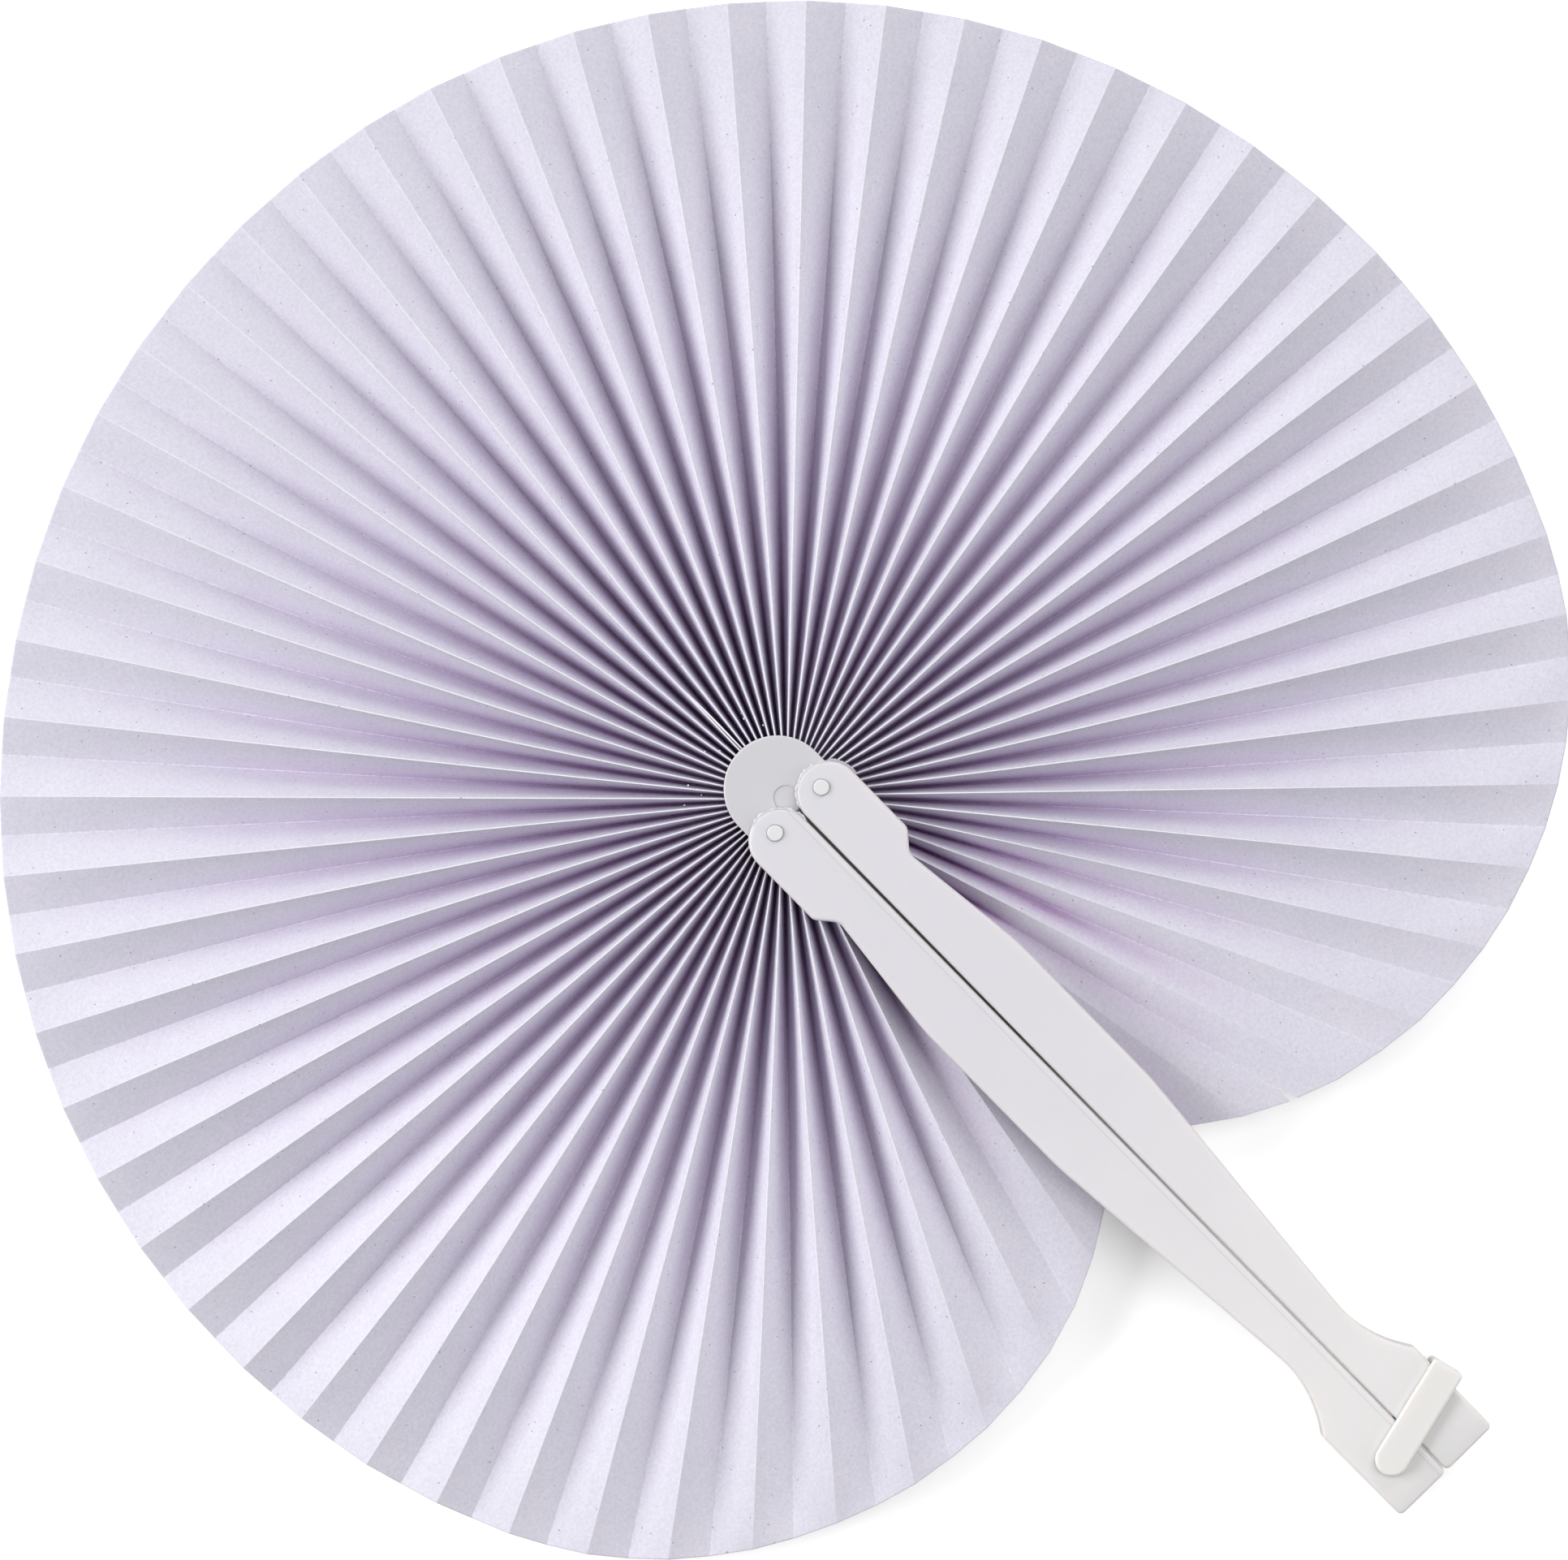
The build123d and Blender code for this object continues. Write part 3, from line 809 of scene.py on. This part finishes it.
def glue_specks():
    """Small lumps that sit on the crests beside the hub."""
    draw = random.Random(SPECK_SEED)
    points, faces = [], []
    for fold, reach in SPECK_PLACES:
        x, y = from_back(fold_angle(fold) + LEAF_TURN, reach) - np.array((0, SPECK_DROP))
        size = draw.uniform(SPECK_LEAST, SPECK_MOST)
        start = len(points)
        for ring in range(SPECK_RINGS + 1):
            rise = math.pi * ring / SPECK_RINGS - math.pi / 2
            z = SPECK_HEIGHT + size * math.sin(rise)
            for k in range(SPECK_SIDES):
                turn = 2 * math.pi * k / SPECK_SIDES
                uneven = draw.uniform(1 - SPECK_UNEVEN, 1 + SPECK_UNEVEN)
                wide = size * math.cos(rise) * uneven + SPECK_TIP
                points.append((x + wide * math.cos(turn), y + wide * math.sin(turn), z))
        faces += ring_faces(start, SPECK_RINGS, SPECK_SIDES)
        faces.append(tuple(start + k for k in reversed(range(SPECK_SIDES))))
        faces.append(tuple(start + SPECK_RINGS * SPECK_SIDES + k for k in range(SPECK_SIDES)))
    return make_mesh("glue_specks", points, faces)


# Room

def photo_direction(azimuth, elevation):
    """A direction from its azimuth in the photograph (0 right, 90 up) and its height in degrees."""
    turn, rise = math.radians(azimuth), math.radians(elevation)
    flat = PHOTO_RIGHT * math.cos(turn) + PHOTO_UP * math.sin(turn)
    return flat * math.cos(rise) + Vector((0, 0, math.sin(rise)))


def lamp(name, kind, azimuth, elevation, level):
    """A lamp; level is how bright it shows a white face that is turned to it."""
    data = bpy.data.lights.new(name, kind)
    made = bpy.data.objects.new(name, data)
    bpy.context.scene.collection.objects.link(made)
    away = photo_direction(azimuth, elevation)
    made.rotation_mode = "QUATERNION"
    made.rotation_quaternion = away.to_track_quat("Z", "Y")
    if kind == "SUN":
        data.energy = math.pi * level
        data.angle = math.radians(FILL_ANGLE)
    else:
        data.shape = "RECTANGLE"
        data.size, data.size_y = KEY_WIDTH, KEY_HEIGHT
        data.energy = math.pi**2 * KEY_DISTANCE**2 * level
        made.location = away * KEY_DISTANCE
        made.visible_camera = False


def floor_material():
    """Pale and matte, white in the picture and plain for the light that bounces off it, with painted
    shade where the fan lies close over it.
    """
    material, shader = new_material("pale_floor")
    shader.inputs["Roughness"].default_value = 1.0
    shader.inputs["Specular IOR Level"].default_value = 0.0
    shader.inputs["Emission Color"].default_value = (*WHITE, 1)
    path = node(material, "ShaderNodeLightPath")
    seen = calculate(material, "MAXIMUM", path.outputs["Is Camera Ray"], path.outputs["Is Glossy Ray"])
    colour = blend_colours(material, seen, FLOOR_SHADE, WHITE)
    contact = node(
        material, "ShaderNodeAmbientOcclusion", samples=CONTACT_SAMPLES, Distance=CONTACT_REACH * MM,
    )
    open_floor = map_range(material, contact.outputs["AO"], CONTACT_DARK, CONTACT_LIGHT)
    along = coordinate(material, object_point(material), "Y")
    below = map_range(material, along, SEAM_DARK_TO * MM, SEAM_LIGHT_FROM * MM)
    lit = calculate(material, "MAXIMUM", open_floor, below)
    link(material, blend_colours(material, lit, SEAM_SHADE, colour), shader.inputs["Base Color"])
    glow = calculate(material, "MULTIPLY", calculate(material, "MULTIPLY", seen, lit), FLOOR_GLOW)
    link(material, glow, shader.inputs["Emission Strength"])
    return material


def floor(height):
    """A plain square floor under the fan."""
    mesh = bpy.data.meshes.new("floor")
    corners = [(x * FLOOR_HALF, y * FLOOR_HALF, height) for x, y in ((-1, -1), (1, -1), (1, 1), (-1, 1))]
    mesh.from_pydata(corners, [], [(0, 1, 2, 3)])
    mesh.materials.append(floor_material())
    made = bpy.data.objects.new("floor", mesh)
    bpy.context.scene.collection.objects.link(made)


def camera():
    """The camera straight over the fan, as far off as a long lens needs for the whole picture."""
    data = bpy.data.cameras.new("camera")
    data.lens, data.sensor_width = LENS, SENSOR
    data.clip_start, data.clip_end = NEAREST_SEEN, FARTHEST_SEEN
    made = bpy.data.objects.new("camera", data)
    bpy.context.scene.collection.objects.link(made)
    distance = LENS / SENSOR * IMAGE_WIDTH * PIXEL * MM
    place = PHOTO_CENTRE * MM + Vector((0, 0, distance))
    turn = Matrix((PHOTO_RIGHT, PHOTO_UP, Vector((0, 0, 1)))).transposed()
    made.matrix_world = Matrix.Translation(place) @ turn.to_4x4()
    bpy.context.scene.camera = made


def world(strength):
    """An even white sky."""
    made = bpy.data.worlds.new("studio")
    made.use_nodes = True
    made.node_tree.nodes["Background"].inputs["Color"].default_value = (*WHITE, 1)
    made.node_tree.nodes["Background"].inputs["Strength"].default_value = strength
    bpy.context.scene.world = made


camera()
world(WORLD_LEVEL)
lamp("key", "AREA", azimuth=177, elevation=27, level=1.08)
lamp("top_light", "SUN", azimuth=25, elevation=70, level=0.32)
lamp("back_fill", "SUN", azimuth=70, elevation=22, level=0.37)
lamp("side_fill", "SUN", azimuth=350, elevation=24, level=0.32)
floor(cad_low.z - FLOOR_DROP * MM)

# The pieces and what they are made of

paper = paper_material()
leaf = paper_leaf()
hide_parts("paper_leaf")
for piece in (leaf, pressed_fold()):
    piece.data.materials.append(paper)
    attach(piece, "fan")

# The arms' near colour is painted shade, darker and more lavender near the hub; their far colour is
# their own white
arm_plastic = plastic_material(
    "arm_plastic_white", near=(0.74, 0.727, 0.765), far=(0.815, 0.806, 0.81), roughness=0.42, ledge=True,
)
# The lip's plastic is painted darker grey, a painted shade for the second dark outline along the right
# arm's head
flash_painted_shade = plastic_material(
    "flash_painted_shade", near=(0.5, 0.5, 0.55), far=(0.5, 0.5, 0.55), roughness=0.35, sides=NO_PAINTED_SIDE_SHADE,
)
hub_plastic = plastic_material(
    "hub_plastic_grey", near=(0.63, 0.623, 0.655), far=(0.77, 0.757, 0.77), roughness=0.45, axis="Z",
    start=HUB_FRONT + PIN_TINT_START, end=HUB_FRONT + PIN_TINT_END, through=0.3, sides=NO_PAINTED_SIDE_SHADE,
)
# The clip gets a faint painted shade towards the hub, and pale painted shade on its sides
clip_plastic = plastic_material(
    "clip_plastic_white", near=(0.822, 0.812, 0.798), far=(0.832, 0.822, 0.808), roughness=0.45,
    through=0.9, sides=PALE_PAINTED_SIDE_SHADE,
)
for name, material in (
    ("right_arm", arm_plastic),
    ("left_arm", arm_plastic),
    ("hub", hub_plastic),
    ("clip", clip_plastic),
):
    mesh = frame["nodes"][name].data
    mesh.materials.clear()
    mesh.materials.append(material)

right_flash = head_flash("right_arm_flash", side=1, start=42, end=168, seed=3)
left_flash = head_flash("left_arm_flash", side=-1, start=-12, end=112, seed=5)
right_lip = head_flash(
    "right_arm_lip", side=1, start=-12, end=50, seed=9, ragged=0.12, least=0.34, sink=1.3,
)
for piece, material in (
    (right_flash, arm_plastic),
    (left_flash, arm_plastic),
    (right_lip, flash_painted_shade),
    (glue_specks(), arm_plastic),
):
    piece.data.materials.append(material)
    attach(piece, "fan")

bpy.context.scene.view_settings.view_transform = "Standard"
